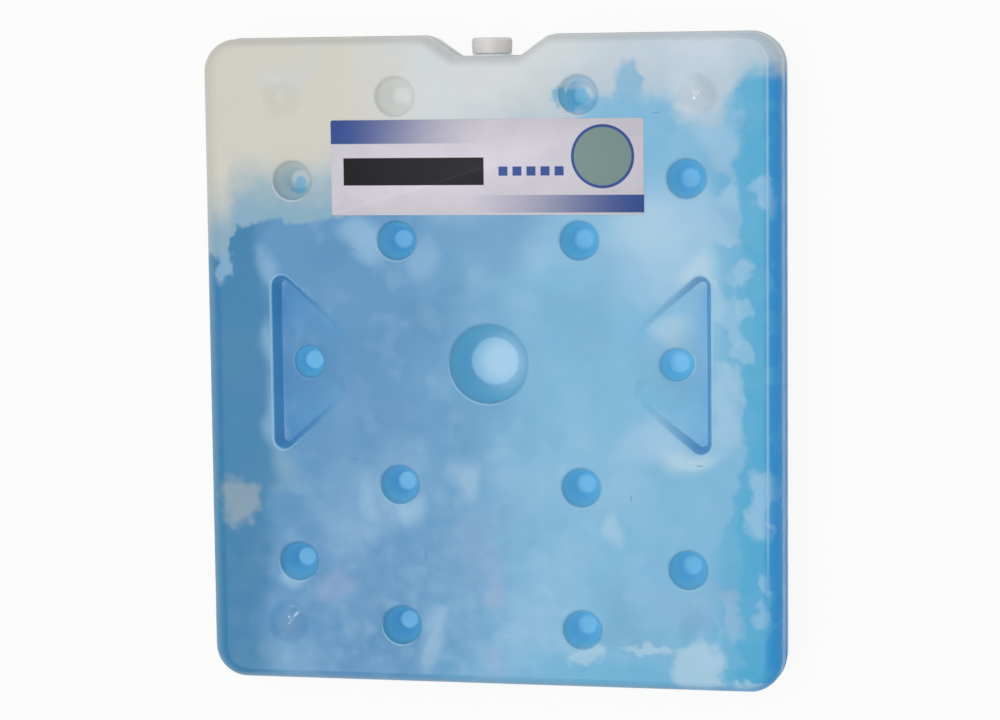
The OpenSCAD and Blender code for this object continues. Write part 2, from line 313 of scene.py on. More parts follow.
def arc(centre, radius, start, end, steps):
    """Points of a round in a profile, from one angle to the other."""
    angles = [start + (end - start) * k / steps for k in range(steps + 1)]
    return [(centre[0] + radius * math.cos(a), centre[1] + radius * math.sin(a)) for a in angles]


def open_edges(bm, z):
    """Boundary edges that lie at one height."""
    return [e for e in bm.edges if len(e.link_faces) < 2 and all(abs(v.co.z - z) < MERGE for v in e.verts)]


# The shell

def body_outline(bm, sizes, share, inwards, z):
    """The body's outline at one height, the given share of the edge's width in from the walls and a bit more."""
    side = sizes.edge_side * share + inwards
    end = sizes.edge_end * share + inwards
    slope = math.atan2(sizes.notch_depth, (sizes.notch_mouth - sizes.notch_floor) / 2)
    shift = end * math.tan(slope / 2)
    x, y = sizes.width / 2 - side, sizes.height / 2 - end
    mouth, low = sizes.notch_mouth / 2 + shift, sizes.notch_floor / 2 + shift
    floor_y = y - sizes.notch_depth
    half = [(x, -y), (x, y), (mouth, y), (low, floor_y)]
    corners = [Vector((*p, z)) for p in half + [(-a, b) for a, b in reversed(half)]]
    corner_r = max(sizes.corner_r - (side + end) / 2, MM)
    radii = [corner_r, corner_r, max(sizes.notch_lip_r - end, MM), sizes.notch_root_r + end]
    return rounded_loop(bm, corners, radii + radii[::-1], [12, 12, 8, 8, 8, 8, 12, 12])


def edge_levels(sizes):
    """The edge from the face to the parting ridge: share of its width, depth, growth outwards."""
    steep = sizes.crease_angle
    rounds = 8
    levels = [(1.22, 0, 0), (1.1, 0.05 * MM, 0), (1.0, 0.18 * MM, 0)]
    for k in range(1, rounds + 1):
        a = steep + (math.pi / 2 - steep) * k / rounds
        levels.append(((1 - math.sin(a)) / (1 - math.sin(steep)),
                       sizes.edge_drop * (1 - math.cos(a) / math.cos(steep)), 0))
    middle = sizes.thickness / 2
    return levels + [(0, middle - sizes.ridge_w, 0), (0, middle - sizes.ridge_w / 2, sizes.ridge_h)]


def dimple(bm, sizes, centre, rim_r, floor_r, lower=None):
    """The walls and floor of one weld dimple, open at its rim; lower gives how far the face drops at an x."""
    depth = settings().shell.thickness / 2 - settings().shell.wall
    lean = math.atan2(rim_r - floor_r, depth)
    rim, root = sizes.rim_round, sizes.floor_round

    def wall_r(d):
        return rim_r - d * math.tan(lean)

    rim_c = (wall_r(rim) + rim / math.cos(lean), -rim)
    root_c = (wall_r(depth - root) - root / math.cos(lean), root - depth)
    profile = arc(rim_c, rim, math.pi / 2, math.pi - lean, 6)
    profile += [(wall_r(d), -d) for d in (0.35 * depth, 0.65 * depth)]
    profile += arc(root_c, root, -lean, -math.pi / 2, 5)
    profile += [(0.5 * root_c[0], -depth), (0, -depth)]
    new = spin_profile(bm, profile, centre, sizes.turns)
    for v in new:
        # Painted highlight on the lower left of the rim, and a painted glow that grows with depth in a narrow hollow
        lit = Vector((centre[0] - v.co.x, centre[1] - v.co.y)).dot(Vector((0.5, 1.0))) / rim_r
        v[bm.verts.layers.float["rim"]] = max(lit, 0) if -0.4 * rim < v.co.z < -0.05 * rim else 0
        v[bm.verts.layers.float["wall"]] = min(-v.co.z / (1.5 * rim), 1) * min((v.co.z + depth) / root, 1)
        v[bm.verts.layers.float["floor"]] = 1 - min((v.co.z + depth) / (0.5 * root), 1)
        v[bm.verts.layers.float["glow"]] = min(-v.co.z / (0.35 * depth), 1) * depth / (2 * rim_r)
        if lower:
            drop = lower(v.co.x)
            v.co.z = -depth + (v.co.z + depth) * (depth - drop) / depth
    return new


def grip(bm, sizes, dimples):
    """One hand grip on the right: a D in plan, its floor rising inwards until it meets the face at height 0."""
    old = set(bm.verts)
    out_x = settings().shell.width / 2 - sizes.edge
    in_x = out_x - sizes.reach
    slope = sizes.depth / (out_x - sizes.draft - in_x)
    run = 4 * MM
    rise = math.tan(sizes.slant)
    # Share of the local depth up from the floor, and how far the wall stands in there
    profile = [(0, 1.22), (0.03, 1.06), (0.1, 0.94), (0.5, 0.52), (0.85, 0.14), (0.94, 0), (0.985, -0.18), (1, -0.42)]
    rings = []
    for share, lean in profile:
        inset = sizes.draft * lean
        back = inset / math.cos(sizes.slant)
        ends = [(out_x - inset, sizes.inner_h / 2 + (out_x - inset - in_x) * rise - back),
                (in_x - run, sizes.inner_h / 2 - run * rise - back)]
        corners = [Vector((x, y, 0)) for x, y in ((ends[0][0], -ends[0][1]), ends[0], ends[1], (ends[1][0], -ends[1][1]))]
        # The end walls twist from steep to flat, so their straight lines are cut into short steps
        ring = rounded_loop(bm, corners, [max(sizes.corner_r - inset, MM)] * 2 + [MM] * 2, [10, 10, 2, 2], cuts=14)
        for v in {v for e in ring for v in e.verts}:
            v.co.z = -(1 - share) * (v.co.x - in_x) * slope
            # Painted shade on the grip's walls, a painted highlight along its rim and a painted glow in its hollow
            v[bm.verts.layers.float["shade"]] = 1 if 0 < share < 0.9 else 0
            v[bm.verts.layers.float["rim"]] = 1 if 0.9 < share < 1 else 0
            v[bm.verts.layers.float["glow"]] = 0.35 if share < 0.97 else 0
        rings.append(ring)
    for low, high in zip(rings, rings[1:]):
        bmesh.ops.bridge_loops(bm, edges=low + high)
    weld_x = out_x - sizes.dimple_in
    depth = settings().shell.thickness / 2 - settings().shell.wall
    drop = (weld_x - in_x) * slope
    rim_r = dimples.small_rim_r - (dimples.small_rim_r - dimples.small_floor_r) * drop / depth
    weld = set(dimple(bm, dimples, (weld_x, 0), rim_r, dimples.small_floor_r, lower=lambda x: (x - in_x) * slope))
    rim = [e for e in bm.edges if e.is_boundary and weld.issuperset(e.verts)]
    bmesh.ops.triangle_fill(bm, edges=rings[0] + rim, use_beauty=True)
    new = {v for v in bm.verts if v not in old}
    parts = [*new, *(e for e in bm.edges if e.verts[0] in new), *(f for f in bm.faces if f.verts[0] in new)]
    bmesh.ops.bisect_plane(bm, geom=parts, dist=MERGE, plane_co=(0, 0, 0), plane_no=(0, 0, 1), clear_outer=True)
    bmesh.ops.delete(bm, geom=[e for e in bm.edges if e.is_wire], context="EDGES")
    new = [v for v in bm.verts if v not in old]
    for v in new:
        deep = min(max((v.co.x - in_x) / (out_x - in_x), 0), 1)
        for name in ("shade", "rim"):
            v[bm.verts.layers.float[name]] *= deep ** 2 if v.co.z < -MERGE else 0
        v[bm.verts.layers.float["glow"]] *= 1 if v.co.z < -MERGE else 0
    return new


def knob(bm, sizes, centre, height):
    """A bell-shaped bump on the face, or its hollow where the height is negative."""
    steps = 10
    bell = [(sizes.knob_r * k / steps, height * (1 + math.cos(math.pi * k / steps)) / 2) for k in range(steps, -1, -1)]
    for v in spin_profile(bm, bell, centre, sizes.turns):
        v[bm.verts.layers.float["knob"]] = v.co.z / sizes.knob_h


def half_shell(pack, front):
    """One face of the body down to its parting ridge, with the face at height 0."""
    sizes, dimples, grips = pack.shell, pack.dimples, pack.grips
    bm = bmesh.new()
    for name in MARKS:
        bm.verts.layers.float.new(name)
    levels = edge_levels(sizes)
    rings = []
    for share, depth, out in levels:
        inwards = sizes.draft * (1 - depth / (sizes.thickness / 2)) - out
        ring = body_outline(bm, sizes, share, inwards, -depth)
        for v in {v for e in ring for v in e.verts}:
            # Edge and crease marks: the material paints shade over the rounded edge and a highlight along the crease
            v[bm.verts.layers.float["edge"]] = max(1 - share, 0)
            v[bm.verts.layers.float["crease"]] = 1 if share == 1 else 0
        rings.append(ring)
    for high, low in zip(rings, rings[1:]):
        bmesh.ops.bridge_loops(bm, edges=high + low)
    outer_x = sizes.width / 2 - dimples.outer_edge
    end_y = sizes.height / 2 - dimples.end_edge
    knob_x = sizes.width / 2 - dimples.knob_edge
    dimple(bm, dimples, (0, 0), dimples.large_rim_r, dimples.large_floor_r)
    for s in (-1, 1):
        places = [(s * dimples.inner_x, y) for y in (end_y, dimples.mid_y, -dimples.mid_y, -end_y)]
        places += [(s * outer_x, y) for y in (dimples.upper_y, -dimples.lower_y)]
        for place in places:
            dimple(bm, dimples, place, dimples.small_rim_r, dimples.small_floor_r)
        mirrored = grip(bm, grips, dimples)
        bmesh.ops.scale(bm, verts=mirrored, vec=(s, 1, 1))
        knob(bm, dimples, (s * knob_x, s * end_y), dimples.knob_h if front else -dimples.knob_h)
        if front:
            knob(bm, dimples, (s * knob_x, -s * end_y), -dimples.knob_h)
    bmesh.ops.remove_doubles(bm, verts=bm.verts, dist=MERGE)
    bmesh.ops.triangle_fill(bm, edges=open_edges(bm, 0), use_beauty=True)
    return bm


def neck(bm, pack):
    """The filler neck and the collar at its foot, standing in the notch."""
    cap = pack.cap
    sink = pack.shell.wall / 2
    bore = cap.bore_r
    profile = [(bore, -sink), (bore, cap.neck_h), (cap.neck_r - 0.4 * MM, cap.neck_h), (cap.neck_r, cap.neck_h - 0.4 * MM),
               (cap.neck_r, cap.collar_h + 0.3 * MM), (cap.neck_r + 0.3 * MM, cap.collar_h)]
    profile += arc((cap.collar_r - 0.3 * MM, cap.collar_h - 0.3 * MM), 0.3 * MM, math.pi / 2, 0, 3)
    profile += arc((cap.collar_r + 0.8 * MM, 0.8 * MM), 0.8 * MM, math.pi, 1.5 * math.pi, 4)
    profile += [(cap.collar_r + 0.8 * MM, -sink), (bore, -sink)]
    turned = spin_profile(bm, profile, (0, 0), 64)
    # A painted glow in the neck
    for v in turned:
        v[bm.verts.layers.float["glow"]] = 0.6
    stand_in_notch(bm, turned, pack)


def stand_in_notch(bm, verts, pack):
    """Turns a vertical turned part so that it stands on the notch floor, pointing along Y."""
    bmesh.ops.rotate(bm, verts=verts, cent=(0, 0, 0), matrix=Matrix.Rotation(-math.pi / 2, 3, "X"))
    floor_y = pack.shell.height / 2 - pack.shell.notch_depth
    bmesh.ops.translate(bm, verts=verts, vec=(0, floor_y, pack.shell.thickness / 2))


def build_shell(pack):
    bm = bmesh.new()
    for front in (True, False):
        half = half_shell(pack, front)
        if not front:
            bmesh.ops.scale(half, verts=half.verts, vec=(1, 1, -1))
        bmesh.ops.translate(half, verts=half.verts, vec=(0, 0, pack.shell.thickness if front else 0))
        join(bm, half)
    bmesh.ops.bridge_loops(bm, edges=[e for e in bm.edges if e.is_boundary])
    neck(bm, pack)
    piece = finish_mesh(bm, "shell_moulding")
    weigh_normals(piece)
    return piece


# Materials

def new_material(name, **values):
    """A material with one main shader, and its even values set on that shader's own sockets."""
    material = bpy.data.materials.new(name)
    material.use_nodes = True
    shader = material.node_tree.nodes["Principled BSDF"]
    for key, value in values.items():
        shader.inputs[key.replace("_", " ")].default_value = value
    return material, material.node_tree, shader


def add(tree, kind, inputs=None, **fields):
    """Adds one node, sets its fields, and fills or links its inputs."""
    node = tree.nodes.new(kind)
    for key, value in fields.items():
        setattr(node, key, value)
    for key, value in (inputs or {}).items():
        socket = node.inputs[key]
        if isinstance(value, bpy.types.NodeSocket):
            tree.links.new(value, socket)
        else:
            socket.default_value = (*value, 1) if socket.type == "RGBA" and len(value) == 3 else value
    return node


def millimetres(tree):
    """The place on the object, in millimetres."""
    place = add(tree, "ShaderNodeTexCoord").outputs["Object"]
    return add(tree, "ShaderNodeVectorMath", {0: place, 3: 1000.0}, operation="SCALE").outputs[0]


def veil(tree, under, over, value, start, end, most=1.0):
    """Lays one colour over another, up to a share, as a value goes from start to end."""
    share = add(tree, "ShaderNodeMapRange", {0: value, 1: start, 2: end, 4: most}, interpolation_type="SMOOTHSTEP")
    return add(tree, "ShaderNodeMix", {0: share.outputs[0], 6: under, 7: over}, data_type="RGBA").outputs[2]


def mottle(tree, under, over, place, size, start, end, most, detail=3.0):
    """Lays a colour over another in cloudy blotches of about the given size in millimetres."""
    cloud = add(tree, "ShaderNodeTexNoise", {"Vector": place, "Scale": 1 / size, "Detail": detail, "Roughness": 0.55})
    return veil(tree, under, over, cloud.outputs[0], start, end, most)


def drift(tree, place, size, reach, detail):
    """A place that wanders within a reach, in swirls of a size, both in millimetres."""
    swirl = add(tree, "ShaderNodeTexNoise", {"Vector": place, "Scale": 1 / size, "Detail": detail, "Roughness": 0.6})
    step = add(tree, "ShaderNodeVectorMath", {0: swirl.outputs["Color"], 1: (2 * reach, 2 * reach, 0),
                                              2: (-reach, -reach, 0)}, operation="MULTIPLY_ADD").outputs[0]
    return add(tree, "ShaderNodeVectorMath", {0: place, 1: step}, operation="ADD").outputs[0]


def patch(tree, under, over, place, spot, blur=0.6):
    """Lays an oval over a colour: its x, y, half width, half height in millimetres, and its strength."""
    x, y, wide, high, most = spot
    away = add(tree, "ShaderNodeMapping", {"Vector": place, "Location": (x, y, 0), "Scale": (wide, high, 1e6)},
               vector_type="TEXTURE").outputs[0]
    far = add(tree, "ShaderNodeVectorMath", {0: away}, operation="LENGTH").outputs["Value"]
    return veil(tree, under, over, far, 1 + blur, 1 - blur, most)


def bumps(tree, place, *layers):
    """A bumpy normal out of noise layers, each given by its size and height in millimetres and its strength."""
    normal = add(tree, "ShaderNodeNewGeometry").outputs["Normal"]
    for size, height, strength in layers:
        noise = add(tree, "ShaderNodeTexNoise", {"Vector": place, "Scale": 1 / size, "Detail": 2.0}).outputs[0]
        normal = add(tree, "ShaderNodeBump", {"Height": noise, "Distance": height * MM, "Strength": strength,
                                              "Normal": normal}).outputs[0]
    return normal


# Fill line of the gel: x and y in millimetres
FILL_LINE = [(-140, 50), (-124, 52), (-119, 63), (-88, 65), (-70, 67), (-35, 75), (0, 88), (25, 104), (42, 113),
             (52, 120), (79, 122), (94, 112), (108, 114), (118, 130), (140, 132)]
# Places where the gel stands off the wall or lies deeper, soft at their edges, under the crisp ones; the broad pale one
# at the upper right, first in the list, is partly a painted sheen: colour, then x, y, half width, half height and
# strength
CLOUDS = [
    ("gel_pale_and_sheen", (82, 56, 34, 24, 0.8)), ("gel_white", (99, 44, 10, 7, 0.6)), ("gel_white", (70, 62, 16, 10, 0.35)),
    ("gel_pale_and_sheen", (-59, 58, 10, 9, 0.5)), ("gel_pale_and_sheen", (-27, 50, 7, 13, 0.35)), ("gel_pale_and_sheen", (28, 52, 8, 11, 0.5)),
    ("gel_pale_and_sheen", (-102, 43, 6, 7, 0.4)), ("gel_pale_and_sheen", (-105, 9, 4, 11, 0.4)),
    ("gel_pale_and_sheen", (-104, -27, 5, 16, 0.5)), ("film", (-107, -50, 12, 8, 0.8)), ("gel_pale_and_sheen", (-93, -101, 7, 5, 0.5)), ("lavender", (-105, -86, 7, 5, 0.2)),
    ("lavender", (-73, -109, 8, 7, 0.45)), ("gel_pale_and_sheen", (-55, -58, 6, 8, 0.4)),
    ("gel_white", (-12, -55, 6, 13, 0.36)),
    ("lavender", (-5, -90, 14, 14, 0.22)), ("lavender", (3, -108, 5, 9, 0.5)),
    ("gel_white", (58, -79, 4, 8, 0.35)), ("gel_pale_and_sheen", (-36, -63, 5, 10, 0.45)), ("gel_pale_and_sheen", (-31, -125, 6, 9, 0.35)),
    ("gel_white", (-28, -135, 5, 5, 0.25)), ("lavender", (2, -140, 8, 5, 0.4)), ("gel_white", (88, 14, 6, 8, 0.5)),
    ("gel_pale_and_sheen", (84, -40, 19, 9, 0.7)), ("gel_white", (92, -41, 12, 4, 0.5)), ("gel_pale_and_sheen", (108, -20, 5, 16, 0.6)),
    ("gel_pale_and_sheen", (109, 20, 6, 34, 0.5)), ("gel_right", (40, 20, 30, 60, 0.4)), ("gel_pale_and_sheen", (107, 101, 9, 12, 0.5)),
    ("gel_pale_and_sheen", (114, 78, 5, 7, 0.5)), ("gel_cyan", (50, -144, 60, 8, 0.35)),
    ("lavender", (100, -110, 30, 10, 0.2)),
    ("gel_left", (2, 60, 24, 16, 0.6)), ("gel_left", (-72, -20, 24, 44, 0.6)),
]
SMUDGES = [
    ("gel_cyan", (120, 92, 5, 13, 0.6)), ("gel_pale_and_sheen", (129, 77, 7, 8, 0.6)),
    ("gel_edge", (135, 98, 5, 14, 0.5)), ("gel_pale_and_sheen", (116, 44, 5, 6, 0.55)), ("gel_pale_and_sheen", (118, 25, 4, 6, 0.5)),
    ("gel_pale_and_sheen", (117, 6, 4, 6, 0.5)), ("gel_pale_and_sheen", (114, -10, 4, 8, 0.4)), ("gel_edge", (135, 48, 5, 10, 0.45)),
    ("gel_edge", (136, 10, 5, 14, 0.45)), ("gel_pale_and_sheen", (127, -63, 7, 18, 0.6)), ("gel_cyan", (125, -42, 5, 7, 0.8)),
    ("gel_cyan", (127, -88, 4, 10, 0.8)), ("gel_pale_and_sheen", (128, -100, 4, 5, 0.5)), ("gel_pale_and_sheen", (126, -113, 5, 5, 0.45)),
    ("gel_white", (97, -139, 13, 11, 0.6)), ("gel_white", (74, -130, 11, 2.5, 0.5)),
    ("gel_cyan", (117, -141, 11, 4.5, 0.7)), ("gel_white", (122, -148, 10, 3.5, 0.5)),
    ("gel_white", (45, -134, 9, 4, 0.45)), ("beige", (-120, -65, 10, 11, 0.75)), ("gel_deep", (-119, -90, 6, 14, 0.5)),
    ("gel_pale_and_sheen", (-126, 46, 4, 10, 0.5)), ("gel_deep", (-117, 55, 4, 8, 0.5)),
]
# Gel that clings above the fill line, to the left of two hollows and between them
CLINGING = [("wall", (37, 121, 7, 5.5, 0.85)), ("wall", (-91.6, 82, 3.6, 3, 0.7)), ("gel_cyan", (65.5, 128, 7.5, 10, 0.55)),
            ("gel_cyan", (54, 118, 16, 4, 0.4)), ("void_right", (90, 122, 12, 10, 0.6))]
# Short marks that the mould leaves
MOULD_MARKS = [(-63.5, 52.7, 1.6, 0.3), (-64, -45, 1.6, 0.3), (97.7, -45.6, 1.6, 0.3), (78.4, 114.4, 1.5, 0.3),
               (-30.7, -90, 0.3, 1.5), (66, -61, 0.3, 1.6)]


def height_over_fill(tree, at):
    """Millimetres above the gel's fill line, from the parts of a place."""
    across = add(tree, "ShaderNodeMapRange", {0: at[0], 1: FILL_LINE[0][0], 2: FILL_LINE[-1][0]}).outputs[0]
    line = add(tree, "ShaderNodeFloatCurve", {1: across})
    points = line.mapping.curves[0].points
    wide, tall = FILL_LINE[-1][0] - FILL_LINE[0][0], 150
    for spot in FILL_LINE[1:-1]:
        points.new(0, 0)
    for point, (x, y) in zip(points, FILL_LINE):
        point.location = ((x - FILL_LINE[0][0]) / wide, y / tall)
    line.mapping.update()
    return add(tree, "ShaderNodeMath", {0: line.outputs[0], 1: -tall, 2: at[1]}, operation="MULTIPLY_ADD").outputs[0]


def shell_material(colours):
    """High-density polyethylene, blow moulded and left natural: milky, waxy, with a satin skin.

    The blue gel lies against its inside in clouds, so the colour is deepest where the gel is thick, and pale
    where air or bare wall shows. A painted glow stands in for light that spreads through the wall into the hollows,
    whose steep sides show the gel at a slant and are painted lighter against their shade; rounded edges carry painted
    shade, and rims and creases a painted highlight.
    """
    material, tree, shader = new_material(
        "blow_moulded_polyethylene", IOR=1.5, Specular_IOR_Level=0.4)
    mm = millimetres(tree)
    mark = {n: add(tree, "ShaderNodeAttribute", attribute_name=n).outputs["Fac"] for n in MARKS}
    # The gel's clouds wander by some millimetres, softly on the face and raggedly in the margins
    soft = drift(tree, mm, 34, 16, 1.5)
    ragged = drift(tree, mm, 11, 8, 2.2)
    flow = add(tree, "ShaderNodeSeparateXYZ", {0: soft}).outputs
    at = add(tree, "ShaderNodeSeparateXYZ", {0: ragged}).outputs
    exact = add(tree, "ShaderNodeSeparateXYZ", {0: mm}).outputs
    above = height_over_fill(tree, at)
    # The fill line is crisp at the left and dissolves towards the right
    blur = add(tree, "ShaderNodeMapRange", {0: exact[0], 1: -30, 2: 60, 3: 1.6, 4: 7.0}).outputs[0]
    level = add(tree, "ShaderNodeMath", {0: above, 1: blur}, operation="DIVIDE").outputs[0]
    here = add(tree, "ShaderNodeMapRange", {0: level, 1: 1, 2: -1}, interpolation_type="SMOOTHSTEP").outputs[0]

    # Bare shell above the fill line, cream at the left, with a film of gel that thins out upwards
    bare = veil(tree, colours.void_left, colours.void_middle, flow[0], -78, -20)
    bare = veil(tree, bare, colours.void_right, flow[0], 20, 100)
    bare = mottle(tree, bare, colours.void_right, mm, 30, 0.5, 0.7, 0.25, detail=1.0)
    film = veil(tree, bare, colours.film, above, 38, 2, 0.95)
    bare = add(tree, "ShaderNodeMix", {0: add(tree, "ShaderNodeMapRange", {0: at[0], 1: -60, 2: 30, 3: 1.0, 4: 0.35}
                                              ).outputs[0], 6: bare, 7: film}, data_type="RGBA").outputs[2]
    # The bare shell: greyer on the walls and floors of its hollows, painted shade, and a little greyer on its knobs
    bare = veil(tree, bare, colours.void_wall, mark["wall"], 0, 1, 0.1)
    bare = veil(tree, bare, colours.void_wall, mark["floor"], 0, 1, 0.4)
    bare = veil(tree, bare, colours.void_wall, mark["knob"], 0.02, 0.25, 0.2)
    for name, spot in CLINGING:
        bare = patch(tree, bare, getattr(colours, name), ragged, spot, blur=0.25)

    # Gel: its hue across the pack, lighter to the right partly as painted light, the deep margins, and clouds in three
    # sizes
    gel = veil(tree, colours.gel_left, colours.gel_right, flow[0], -60, 60)
    gel = mottle(tree, gel, colours.gel_pale_and_sheen, mm, 45, 0.48, 0.7, 0.3, detail=1.5)
    gel = mottle(tree, gel, colours.gel_deep, mm, 38, 0.47, 0.3, 0.2, detail=1.5)
    gel = mottle(tree, gel, colours.gel_pale_and_sheen, mm, 13, 0.52, 0.72, 0.16, detail=1.5)
    for name, spot in CLOUDS:
        gel = patch(tree, gel, getattr(colours, name), soft, spot)
    gel = veil(tree, gel, colours.gel_deep, flow[0], -99, -112, 0.9)
    fingers = mottle(tree, gel, colours.gel_cyan, ragged, 20, 0.48, 0.58, 0.6, detail=0.0)
    gel = veil(tree, gel, fingers, exact[0], 98, 112)
    gel = veil(tree, gel, colours.gel_cyan, at[0], 114, 119, 0.8)
    for name, spot in SMUDGES:
        gel = patch(tree, gel, getattr(colours, name), ragged, spot, blur=0.3)
    pockets = mottle(tree, colours.gel_edge, gel, ragged, 12, 0.52, 0.58, 0.6, detail=1.0)
    gel = veil(tree, gel, pockets, exact[0], 125, 130, 0.8)

    # Hollows: walls and floors painted lighter against the shade inside them, the welded floors also paler in their own
    # colour;
    # painted shade on the grip walls; the middle weld's floor, painted palest, lets the most light through
    gel = veil(tree, gel, colours.wall, mark["wall"], 0, 1, 0.75)
    gel = veil(tree, gel, colours.floor, mark["floor"], 0, 1, 0.8)
    gel = veil(tree, gel, colours.grip_wall, mark["shade"], 0, 1, 0.8)
    gel = patch(tree, gel, colours.gel_white, mm, (3, 0, 11, 11, 0.75))
    gel = veil(tree, gel, colours.knob, mark["knob"], 0.1, 0.9, 0.6)
    colour = add(tree, "ShaderNodeMix", {0: here, 6: bare, 7: gel}, data_type="RGBA").outputs[2]

    # Rounded edges: painted shade, greyer above the fill line and deeper below it, and a painted highlight along the
    # crease at the top and the right
    void_edge = add(tree, "ShaderNodeMix", {0: 0.5, 6: bare, 7: colours.void_wall}, data_type="RGBA").outputs[2]
    gel_edge = veil(tree, colours.gel_foot, colours.gel_edge, exact[0], 70, 125)
    edge = add(tree, "ShaderNodeMix", {0: here, 6: void_edge, 7: gel_edge}, data_type="RGBA").outputs[2]
    colour = veil(tree, colour, edge, mark["edge"], 0.05, 0.7, 0.65)
    # Painted highlight along the creases, strongest at the top and the right, and on the rims of the hollows
    light = add(tree, "ShaderNodeMix", {0: here, 6: colours.void_rim_highlight, 7: colours.gel_rim_highlight}, data_type="RGBA").outputs[2]
    lit = add(tree, "ShaderNodeMath", {0: exact[0], 1: exact[1]}, operation="ADD").outputs[0]
    lit = add(tree, "ShaderNodeMapRange", {0: lit, 1: 0, 2: 60}).outputs[0]
    lit = add(tree, "ShaderNodeMath", {0: lit, 1: mark["crease"], 2: mark["rim"]}, operation="MULTIPLY_ADD").outputs[0]
    colour = veil(tree, colour, light, lit, 0, 1, 0.65)
    for spot in MOULD_MARKS:
        colour = patch(tree, colour, colours.gel_deep, mm, (*spot, 0.55))
    tree.links.new(colour, shader.inputs["Base Color"])

    # Painted glow: emission in the hollows, the grips and the neck stands in for light that has spread through gel and
    # wall
    through = add(tree, "ShaderNodeMapRange", {0: here, 3: 0.2, 4: 0.24}).outputs[0]
    through = add(tree, "ShaderNodeMath", {0: mark["glow"], 1: through}, operation="MULTIPLY").outputs[0]
    tree.links.new(colour, shader.inputs["Emission Color"])
    tree.links.new(through, shader.inputs["Emission Strength"])
    material.cycles.emission_sampling = "NONE"

    # Blown walls sag between their welds, and the cavity's blasted skin leaves a fine grain; stacking rubs the knobs
    smooth = add(tree, "ShaderNodeNewGeometry").outputs["Normal"]
    polish = add(tree, "ShaderNodeMapRange", {0: mark["knob"], 1: 0.05, 2: 0.3}).outputs[0]
    grain = bumps(tree, mm, (26, 0.5, 0.6), (0.8, 0.05, 0.5))
    grain = add(tree, "ShaderNodeMix", {0: polish, 4: grain, 5: smooth}, data_type="VECTOR").outputs[1]
    tree.links.new(grain, shader.inputs["Normal"])
    worn = add(tree, "ShaderNodeTexNoise", {"Vector": mm, "Scale": 1 / 9, "Detail": 3.0}).outputs[0]
    worn = add(tree, "ShaderNodeMapRange", {0: worn, 1: 0.35, 2: 0.7, 3: 0.32, 4: 0.44}).outputs[0]
    rubbed = add(tree, "ShaderNodeMath", {0: polish, 1: -0.24, 2: worn}, operation="MULTIPLY_ADD").outputs[0]
    tree.links.new(rubbed, shader.inputs["Roughness"])
    return material


def cap_material(colours):
    """Injection-moulded polyethylene, milky white: a waxy satin with a faint orange-peel skin."""
    material, tree, shader = new_material("moulded_polyethylene_cap", Roughness=0.4, IOR=1.5, Subsurface_Weight=0.6,
                                          Subsurface_Radius=(1.0, 0.9, 0.85), Subsurface_Scale=4 * MM)
    mm = millimetres(tree)
    tree.links.new(mottle(tree, colours.cap, colours.cap_shade, mm, 6, 0.4, 0.65, 0.5), shader.inputs["Base Color"])
    tree.links.new(bumps(tree, mm, (0.9, 0.03, 0.5)), shader.inputs["Normal"])
    return material


def gel_material(colours):
    """Cellulose gel dyed blue, half frozen: wet, soft and cloudy."""
    material, tree, shader = new_material("blue_cellulose_gel", Roughness=0.18, IOR=1.34, Subsurface_Weight=0.6,
                                          Subsurface_Radius=(0.4, 0.8, 1.0), Subsurface_Scale=8 * MM)
    mm = millimetres(tree)
    frosty = mottle(tree, colours.gel_cyan, colours.gel_pale_and_sheen, mm, 14, 0.4, 0.68, 0.8)
    tree.links.new(frosty, shader.inputs["Base Color"])
    tree.links.new(bumps(tree, mm, (5, 0.3, 1.0)), shader.inputs["Normal"])
    return material


def block(tree, under, over, place, spot, soft=0.15):
    """Lays a straight-edged block over a colour: its x, y, half width and half height in millimetres."""
    x, y, wide, high = spot
    away = add(tree, "ShaderNodeVectorMath", {0: place, 1: (x, y, 0)}, operation="SUBTRACT").outputs[0]
    away = add(tree, "ShaderNodeVectorMath", {0: away}, operation="ABSOLUTE").outputs[0]
    away = add(tree, "ShaderNodeVectorMath", {0: away, 1: (wide, high, 0)}, operation="SUBTRACT").outputs[0]
    parts = add(tree, "ShaderNodeSeparateXYZ", {0: away}).outputs
    out = add(tree, "ShaderNodeMath", {0: parts[0], 1: parts[1]}, operation="MAXIMUM").outputs[0]
    return veil(tree, under, over, out, soft, -soft)


def label_material(colours):
    """Polypropylene film with printed ink: smooth and half gloss.

    The print is plain: two bands of blue that fade out, a black bar, a ringed disc and a row of ice-cube squares.
    """
    material, tree, shader = new_material("printed_polypropylene_film", Roughness=0.48, IOR=1.49)
    mm = millimetres(tree)
    x = add(tree, "ShaderNodeSeparateXYZ", {0: mm}).outputs[0]
    film = mottle(tree, colours.label, colours.label_shade, mm, 18, 0.4, 0.7, 0.5)
    fade = veil(tree, colours.ink_blue, film, x, -72, 6)
    ink = block(tree, film, fade, mm, (-30, 107.5, 44, 6.2))
    fade = veil(tree, film, colours.ink_blue, x, -18, 74)
    ink = block(tree, ink, fade, mm, (30, 73.6, 43, 4.0))
    ink = block(tree, ink, colours.ink_black, mm, (-34, 88.5, 33, 6.3))
    for k in range(5):
        ink = block(tree, ink, colours.ink_blue, mm, (8 + 6.5 * k, 88.5, 2.1, 2.1))
    for reach, tone in ((14.5, colours.ink_blue), (13.2, colours.ink_sage)):
        away = add(tree, "ShaderNodeVectorMath", {0: mm, 1: (54, 95, 35)}, operation="DISTANCE").outputs["Value"]
        ink = veil(tree, ink, tone, away, reach + 0.15, reach - 0.15)
    tree.links.new(ink, shader.inputs["Base Color"])
    tree.links.new(bumps(tree, mm, (20, 0.2, 0.6)), shader.inputs["Normal"])
    return material


# Operators

